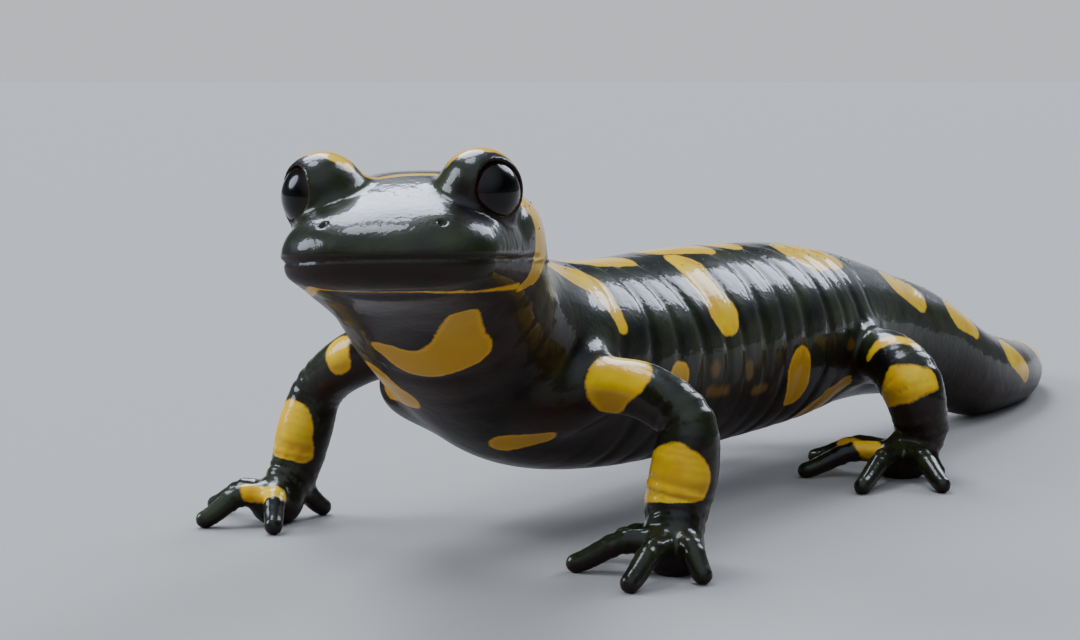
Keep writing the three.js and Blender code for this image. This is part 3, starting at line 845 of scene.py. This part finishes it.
# Round softboxes: the bearing of each (from straight behind the animal, positive to its right) and how high it
# stands, how far from there it is full and has ended, in degrees, and how bright it is against the settings.
SOFTBOXES = [
    (44, 43, 14, 15.2, 1),
    (-7, 28, 9.5, 11, 0.75),
    (-16, 42, 10, 11.5, 0.75),
    (72, 68, 10, 11.2, 1),
    (111, 30, 14, 15.2, 1),
    (-149, 54, 20, 60, 0.1),
]


def linear(hex_colour):
    channels = [int(hex_colour[i : i + 2], 16) / 255 for i in (1, 3, 5)]
    return (*[c / 12.92 if c <= 0.04045 else ((c + 0.055) / 1.055) ** 2.4 for c in channels], 1.0)


def add(tree, kind, inputs=None, **settings):
    """Adds a node with its settings, each input given a value or linked from a socket."""
    made = tree.nodes.new(kind)
    for name, value in settings.items():
        setattr(made, name, value)
    for key, value in (inputs or {}).items():
        socket = made.inputs[key]
        if isinstance(value, bpy.types.NodeSocket):
            tree.links.new(value, socket)
        else:
            socket.default_value = value
    return made


def new_material(name):
    made = bpy.data.materials.new(name)
    made.use_nodes = True
    made.node_tree.nodes.clear()
    return made, made.node_tree


def mixed(tree, share, a, b):
    return add(tree, "ShaderNodeMix", {0: share, 6: a, 7: b}, data_type="RGBA").outputs[2]


def show(tree, inputs):
    """Ends a material in one shader with these inputs."""
    shader = add(tree, "ShaderNodeBsdfPrincipled", inputs)
    add(tree, "ShaderNodeOutputMaterial", {"Surface": shader.outputs[0]})


def moist_skin(look):
    """Amphibian skin, bare and wet: a film of slime mirrors the light over dark, finely grained skin."""
    made, tree = new_material("moist_amphibian_skin")
    place = add(tree, "ShaderNodeTexCoord").outputs["Object"]

    def noise(size, detail=3.0, **inputs):
        settings = {"Vector": place, "Scale": 1 / (size * MM), "Detail": detail, **inputs}
        return add(tree, "ShaderNodeTexNoise", settings).outputs["Fac"]

    def between(value, low, high, to_low=0.0, to_high=1.0):
        return add(tree, "ShaderNodeMapRange", {0: value, 1: low, 2: high, 3: to_low, 4: to_high}).outputs[0]

    def sum_of(a, b, operation="ADD"):
        return add(tree, "ShaderNodeMath", {0: a, 1: b}, operation=operation).outputs[0]

    def attribute(name):
        return add(tree, "ShaderNodeAttribute", attribute_name=name).outputs["Fac"]

    ragged = between(noise(0.6), 0.0, 1.0, -0.18, 0.18)
    cloud = noise(4.5, 4.0)
    # Painted reflection: pale green clouds over the back stand in for a green surround mirrored in the wet skin.
    back = mixed(tree, between(cloud, 0.35, 0.7), look["black"], look["painted_green_sheen"])
    belly = mixed(tree, between(cloud, 0.3, 0.75), look["brown"], look["black"])
    dark = mixed(tree, attribute("underside"), back, belly)
    # Painted shade: the small marks low on the flank are painted dull brown, as if in shadow.
    dull = between(sum_of(attribute("dull_marking"), ragged), 0.3, -0.25, 0.0, 0.75)
    dark = mixed(tree, dull, dark, look["dull"])
    bright = mixed(tree, between(noise(2.2, 4.0), 0.35, 0.75), look["yellow"], look["orange"])
    # Painted shade: the markings are painted a darker ochre where they face down, as if in shadow.
    bright = mixed(tree, between(attribute("underside"), 0.1, 0.7, 0.0, 0.9), bright, look["painted_shade_yellow"])
    edge = sum_of(attribute("marking"), ragged)
    bright = mixed(tree, between(edge, 0.1, -0.5, 0.5, 1.0), look["orange"], bright)
    colour = mixed(tree, between(edge, 0.1, -0.12), dark, bright)

    grain = add(
        tree, "ShaderNodeTexVoronoi", {"Vector": place, "Scale": 1 / (0.34 * MM)}, feature="SMOOTH_F1"
    ).outputs["Distance"]
    surface = None
    for height, depth, strength in (
        (grain, 0.018, 0.6),
        (noise(0.75, 2.0), 0.06, 0.5),
        (noise(2.4, 2.0), 0.12, 0.6),
        (noise(5.5, 1.0), 0.25, 0.6),
    ):
        inputs = {"Height": height, "Distance": depth * MM, "Strength": strength}
        if surface:
            inputs["Normal"] = surface
        surface = add(tree, "ShaderNodeBump", inputs).outputs[0]
    inputs = {
        "Base Color": colour,
        "Roughness": between(attribute("underside"), 0.0, 1.0, 0.36, 0.55),
        "Specular IOR Level": 0.2,
        "Coat Weight": between(attribute("underside"), 0.1, 0.8, 0.75, 0.25),
        "Coat Roughness": 0.035,
    }
    show(tree, {**inputs, "Normal": surface, "Coat Normal": surface, **WET})
    return made


def gland_skin(look):
    """The thin black skin round the mouth of a poison gland, as wet as the rest."""
    made, tree = new_material("moist_gland_skin")
    inputs = {"Base Color": look["black"], "Roughness": 0.4, "Coat Weight": 1.0, "Coat Roughness": 0.06}
    show(tree, {**inputs, "Specular IOR Level": 0.12, **WET})
    return made


def wet_eye(look):
    """A living eye: a very dark iris under a clear, wet cornea, which mirrors the light sharply."""
    made, tree = new_material("wet_cornea_over_dark_iris")
    away = add(tree, "ShaderNodeAttribute", attribute_name="from_pupil").outputs["Fac"]
    place = add(tree, "ShaderNodeTexCoord").outputs["Object"]
    fleck = add(tree, "ShaderNodeTexNoise", {"Vector": place, "Scale": 1 / (0.35 * MM), "Detail": 3.0})
    iris = mixed(tree, fleck.outputs["Fac"], look["iris"], look["iris_fleck"])
    ring = add(tree, "ShaderNodeMapRange", {0: away, 1: 0.55, 2: 0.75})
    colour = mixed(tree, ring.outputs[0], look["pupil"], iris)
    inputs = {"Base Color": colour, "Roughness": 0.25, "Coat Weight": 0.7, "Coat Roughness": 0.02}
    show(tree, {**inputs, "Specular IOR Level": 0.12, **WET})
    return made


def soft_room(settings):
    """A room told by direction alone: one pale wall, darker sides and ceiling, and the softboxes."""
    made = bpy.data.worlds.new("soft_room")
    made.use_nodes = True
    tree = made.node_tree
    tree.nodes.clear()
    direction = add(tree, "ShaderNodeTexCoord").outputs["Generated"]

    def facing(towards, near, far):
        """1 within an angle of a direction, fading to 0 at a wider one."""
        cosine = add(
            tree, "ShaderNodeVectorMath", {0: direction, 1: Vector(towards).normalized()}, operation="DOT_PRODUCT"
        ).outputs["Value"]
        inputs = {0: cosine, 1: math.cos(math.radians(far)), 2: math.cos(math.radians(near)), 3: 0.0, 4: 1.0}
        return add(tree, "ShaderNodeMapRange", inputs).outputs[0]

    walls = mixed(tree, facing(BACK_WALL, *WALL_REACH), tuple(settings.sides), tuple(settings.surround))
    room = mixed(tree, facing((0, 0, 1), *CEILING_REACH), walls, tuple(settings.ceiling))
    room = add(tree, "ShaderNodeBackground", {"Color": room, "Strength": settings.room}).outputs[0]
    light = None
    for bearing, height, near, far, share in SOFTBOXES:
        turn, rise = math.radians(bearing), math.radians(height)
        towards = (-math.sin(turn) * math.cos(rise), math.cos(turn) * math.cos(rise), math.sin(rise))
        inputs = {0: facing(towards, near, far), 1: share * settings.brightness}
        lit = add(tree, "ShaderNodeMath", inputs, operation="MULTIPLY").outputs[0]
        light = add(tree, "ShaderNodeMath", {0: light, 1: lit}, operation="MAXIMUM").outputs[0] if light else lit
    boxes = {"Color": tuple(settings.window), "Strength": light}
    boxes = add(tree, "ShaderNodeBackground", boxes).outputs[0]
    whole = add(tree, "ShaderNodeAddShader", {0: room, 1: boxes}).outputs[0]
    add(tree, "ShaderNodeOutputWorld", {"Surface": whole})
    return made


def plain_surface(name, colour, roughness):
    made, tree = new_material(name)
    show(tree, {"Base Color": colour, "Roughness": roughness})
    return made


# ---------------------------------------------------------------- what a user would change
def colour_setting(name, description, default):
    return bpy.props.FloatVectorProperty(
        name=name, description=description, default=linear(default), size=4, min=0, max=1, subtype="COLOR"
    )


def length_setting(name, description, default, low, high, precision=5):
    return bpy.props.FloatProperty(
        name=name, description=description, default=default, min=low, max=high, unit="LENGTH", precision=precision
    )


class SalamanderSkinSettings(bpy.types.PropertyGroup):
    spacing: length_setting(
        "Mesh spacing", "How far apart the skin's points are on the head", 0.0002, 0.0001, 0.001
    )
    black: colour_setting("Black", "Ground colour", "#0a0a09")
    # Painted reflection: a green sheen in clouds over the back, standing in for green surroundings mirrored there.
    painted_green_sheen: colour_setting("Painted green sheen", "Paler cloud in the ground colour of the back", "#2d3417")
    brown: colour_setting("Brown", "Ground colour of the throat and belly", "#2a1812")
    yellow: colour_setting("Yellow", "Colour of the markings", "#ffd71a")
    orange: colour_setting("Orange", "Deeper cloud in the markings, and their edges", "#f0b010")
    # Painted shade: the markings' yellow, darkened where they face down.
    painted_shade_yellow: colour_setting("Painted shade yellow", "Colour of the markings underneath", "#ab7c18")
    # Painted shade: the dull brown of the small marks low on the flank.
    dull: colour_setting("Dull marking", "Colour of the small dull markings", "#6d4f18")


class SalamanderGlandSettings(bpy.types.PropertyGroup):
    spacing: length_setting("Spacing", "The least distance between two gland openings", 0.0009, 0.0004, 0.005)
    radius: length_setting("Radius", "Of the rim round a gland opening", 0.00012, 0.00005, 0.001)


class SalamanderEyeSettings(bpy.types.PropertyGroup):
    radius: length_setting("Eyeball radius", "Of each eyeball", 0.0029, 0.001, 0.004, precision=4)
    pupil: colour_setting("Pupil", "Colour of the pupil", "#050404")
    iris: colour_setting("Iris", "Colour of the iris", "#230f0a")
    iris_fleck: colour_setting("Iris flecks", "Paler flecks in the iris", "#3c1a10")


class SalamanderStageSettings(bpy.types.PropertyGroup):
    floor_colour: colour_setting("Floor", "Colour of the floor", "#a9a7a1")
    surround: colour_setting("Back wall", "Colour of the room behind the animal", "#f0f2f9")
    sides: colour_setting("Side walls", "Colour of the room on the other sides", "#74787a")
    ceiling: colour_setting("Ceiling", "Colour of the room above", "#3c4448")
    window: colour_setting("Softbox", "Colour of the soft lights", "#e4ecff")
    room: bpy.props.FloatProperty(
        name="Room brightness", description="Against a white surface", default=0.76, min=0, max=10
    )
    brightness: bpy.props.FloatProperty(
        name="Softbox brightness", description="Against a white surface", default=11.5, min=0, max=50
    )
    lens: bpy.props.FloatProperty(
        name="Focal length", description="Of the camera", default=76.67, min=10, max=300, unit="CAMERA"
    )


COLOURS = {
    "skin": ("black", "painted_green_sheen", "brown", "yellow", "orange", "painted_shade_yellow", "dull"),
    "eye": ("pupil", "iris", "iris_fleck"),
}


def look_of(settings, piece):
    return {name: tuple(getattr(settings, name)) for name in COLOURS[piece]}


# ---------------------------------------------------------------- the pieces
class MakeSkin(bpy.types.Operator):
    """Makes the skin in one piece, from the snout to the tail and the toes"""

    bl_idname = "salamander.skin"
    bl_label = "Skin"

    def execute(self, context):
        settings = context.scene.salamander_skin
        step = settings.spacing / MM * 1
        lens = Lens(HEAD.outside(np.array([FINE["at"]]))[0], FINE["radius"], FINE["fade"], FINE["slope"])
        low, high = [np.array(c) / MM + BOX_MIDDLE for c in CAD_BOX]
        ends = [np.linspace(low[i] - 1, high[i] + 1, 40) for i in range(3)]
        shell = lens.gather(np.stack(np.meshgrid(*ends, indexing="ij"), -1).reshape(-1, 3))
        start = shell.min(0) - step
        counts = [math.ceil(n) for n in (shell.max(0) - shell.min(0)) / step + 3]
        grid = sample(lambda q: skin_distance(lens.spread(q)), start, counts, step)
        points, faces = surface_nets(grid)
        points = lens.spread(start + points * step)
        points = settle(points, faces, skin_distance, 2)
        points[:, 2] = np.maximum(points[:, 2], 0)
        _, alone = skin_distance(points, parts=True)
        piece = mesh_object("skin", to_frame(points), faces)
        write_attribute(piece, "underside", underside(points, unit(slope_of(skin_distance, points))))
        write_attribute(piece, "glands", gland_share(points, alone))
        write_attribute(piece, "marking", marking_distance(points, alone, PATCHES, STROKES))
        write_attribute(piece, "dull_marking", marking_distance(points, alone, PAINTED_SHADE_PATCHES, {}))
        piece.data.materials.append(moist_skin(look_of(settings, "skin")))
        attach(piece, "root")
        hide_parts(*[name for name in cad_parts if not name.startswith("eye")])
        print("skin:", len(points), "points,", len(faces), "faces")
        return {"FINISHED"}


def gland_tree():
    """Scatters small domes over the skin, as thickly as its glands attribute says, and makes them one mesh."""
    tree = bpy.data.node_groups.new("gland_openings", "GeometryNodeTree")
    face = tree.interface
    face.new_socket("Geometry", in_out="OUTPUT", socket_type="NodeSocketGeometry")
    kinds = {"Skin": "Object", "Spacing": "Float", "Density": "Float", "Smallest": "Vector", "Largest": "Vector"}
    for name, kind in {**kinds, "Seed": "Int", "Material": "Material"}.items():
        face.new_socket(name, in_out="INPUT", socket_type=f"NodeSocket{kind}")
    given = add(tree, "NodeGroupInput").outputs
    skin = add(tree, "GeometryNodeObjectInfo", {"Object": given["Skin"]}).outputs["Geometry"]
    share = add(tree, "GeometryNodeInputNamedAttribute", {"Name": "glands"}, data_type="FLOAT").outputs["Attribute"]
    inputs = {"Mesh": skin, "Distance Min": given["Spacing"], "Density Max": given["Density"]}
    inputs.update({"Density Factor": share, "Seed": given["Seed"]})
    spread = add(tree, "GeometryNodeDistributePointsOnFaces", inputs, distribute_method="POISSON").outputs
    inputs = {0: given["Smallest"], 1: given["Largest"], "Seed": given["Seed"]}
    size = add(tree, "FunctionNodeRandomValue", inputs, data_type="FLOAT_VECTOR").outputs[0]
    dome = add(tree, "GeometryNodeMeshIcoSphere", {"Radius": 1.0, "Subdivisions": 2}).outputs["Mesh"]
    inputs = {"Points": spread["Points"], "Instance": dome, "Rotation": spread["Rotation"], "Scale": size}
    domes = add(tree, "GeometryNodeInstanceOnPoints", inputs).outputs[0]
    smooth = add(tree, "GeometryNodeSetShadeSmooth", {"Geometry": domes}).outputs[0]
    whole = add(tree, "GeometryNodeRealizeInstances", {"Geometry": smooth}).outputs[0]
    dressed = add(tree, "GeometryNodeSetMaterial", {"Geometry": whole, "Material": given["Material"]}).outputs[0]
    add(tree, "NodeGroupOutput", {"Geometry": dressed})
    return tree


class MakeGlands(bpy.types.Operator):
    """Makes the openings of the poison glands, behind the eyes and in two rows down the back"""

    bl_idname = "salamander.glands"
    bl_label = "Gland openings"

    def execute(self, context):
        settings = context.scene.salamander_gland
        tree = gland_tree()
        carrier = mesh_object("gland_scatter", np.zeros((0, 3)), np.zeros((0, 4), int))
        scatter = carrier.modifiers.new("gland_openings", "NODES")
        scatter.node_group = tree
        values = {
            "Skin": bpy.data.objects["skin"],
            "Spacing": settings.spacing,
            "Density": 3.0 / settings.spacing**2,
            "Smallest": Vector((0.7, 0.7, 0.35)) * settings.radius,
            "Largest": Vector((1.2, 1.2, 0.6)) * settings.radius,
            "Seed": 7,
            "Material": gland_skin(look_of(context.scene.salamander_skin, "skin")),
        }
        for item in tree.interface.items_tree:
            if item.name in values:
                scatter[item.identifier] = values[item.name]
        context.view_layer.update()
        made = bpy.data.meshes.new_from_object(carrier.evaluated_get(context.evaluated_depsgraph_get()))
        bpy.data.objects.remove(carrier)
        if not made.vertices:
            raise RuntimeError("no gland openings were made")
        piece = bpy.data.objects.new("gland_openings", made)
        made.name = "gland_openings"
        context.scene.collection.objects.link(piece)
        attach(piece, "root")
        return {"FINISHED"}


class MakeEyes(bpy.types.Operator):
    """Makes both eyeballs, each looking out between its lids"""

    bl_idname = "salamander.eyes"
    bl_label = "Eyes"

    def execute(self, context):
        settings = context.scene.salamander_eye
        material = wet_eye(look_of(settings, "eye"))
        for name, side in (("left", 1), ("right", -1)):
            _, gaze, _, _ = eye_frame(side)
            low, high = EYE_BOX[name]
            bpy.ops.mesh.primitive_uv_sphere_add(segments=64, ring_count=40, radius=settings.radius)
            piece = context.object
            piece.name = piece.data.name = f"eyeball_{name}"
            away = [v.co.xy.length / settings.radius if v.co.z > 0 else 1 for v in piece.data.vertices]
            write_attribute(piece, "from_pupil", away)
            looks = Vector(HEAD.axes @ gaze).to_track_quat("Z", "Y").to_matrix().to_4x4()
            piece.data.transform(Matrix.Translation((low + high) / 2) @ looks)
            piece.data.shade_smooth()
            piece.data.materials.append(material)
            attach(piece, "root")
            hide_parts(f"eye_{name}")
        return {"FINISHED"}


class MakeStage(bpy.types.Operator):
    """Makes the floor, the soft light and the camera"""

    bl_idname = "salamander.stage"
    bl_label = "Stage"

    def execute(self, context):
        settings = context.scene.salamander_stage
        bpy.ops.mesh.primitive_circle_add(vertices=64, radius=40, fill_type="NGON", location=(0, 0, 0))
        floor = context.object
        floor.name = "floor"
        floor.data.materials.append(plain_surface("pale_matt_floor", tuple(settings.floor_colour), 1.0))
        context.scene.world = soft_room(settings)
        camera = bpy.data.objects.new("camera", bpy.data.cameras.new("camera"))
        camera.data.lens, camera.data.sensor_width = settings.lens, 36
        camera.data.clip_start = 0.01
        before, beside, bearing = CAMERA["before"], CAMERA["beside"], math.radians(CAMERA["bearing"])
        x = math.cos(bearing) * beside + math.sin(bearing) * before
        y = math.sin(bearing) * beside - math.cos(bearing) * before
        camera.location = to_frame(np.array([x, y, CAMERA["height"]]))
        camera.rotation_euler = (math.radians(90 - CAMERA["down"]), 0, bearing)
        context.scene.collection.objects.link(camera)
        context.scene.camera = camera
        return {"FINISHED"}


class SalamanderPanel(bpy.types.Panel):
    bl_idname = "VIEW3D_PT_salamander"
    bl_label = "Fire Salamander"
    bl_space_type = "VIEW_3D"
    bl_region_type = "UI"
    bl_category = "Salamander"

    def draw(self, context):
        for name, settings, operator in PIECES:
            box = self.layout.box()
            group = getattr(context.scene, settings)
            for prop in group.bl_rna.properties.keys():
                if prop not in ("rna_type", "name"):
                    box.prop(group, prop)
            box.operator(operator, text=name)


PIECES = [
    ("Skin", "salamander_skin", "salamander.skin"),
    ("Gland openings", "salamander_gland", "salamander.glands"),
    ("Eyes", "salamander_eye", "salamander.eyes"),
    ("Stage", "salamander_stage", "salamander.stage"),
]
SETTINGS = {
    "salamander_skin": SalamanderSkinSettings,
    "salamander_gland": SalamanderGlandSettings,
    "salamander_eye": SalamanderEyeSettings,
    "salamander_stage": SalamanderStageSettings,
}
CLASSES = [*SETTINGS.values(), MakeSkin, MakeGlands, MakeEyes, MakeStage, SalamanderPanel]


def register():
    for made in CLASSES:
        bpy.utils.register_class(made)
    for name, group in SETTINGS.items():
        setattr(bpy.types.Scene, name, bpy.props.PointerProperty(type=group))


def unregister():
    for name in SETTINGS:
        delattr(bpy.types.Scene, name)
    for made in reversed(CLASSES):
        bpy.utils.unregister_class(made)


def main():
    register()
    bpy.ops.salamander.skin()
    bpy.ops.salamander.glands()
    bpy.ops.salamander.eyes()
    bpy.ops.salamander.stage()


if __name__ == "__main__":
    main()
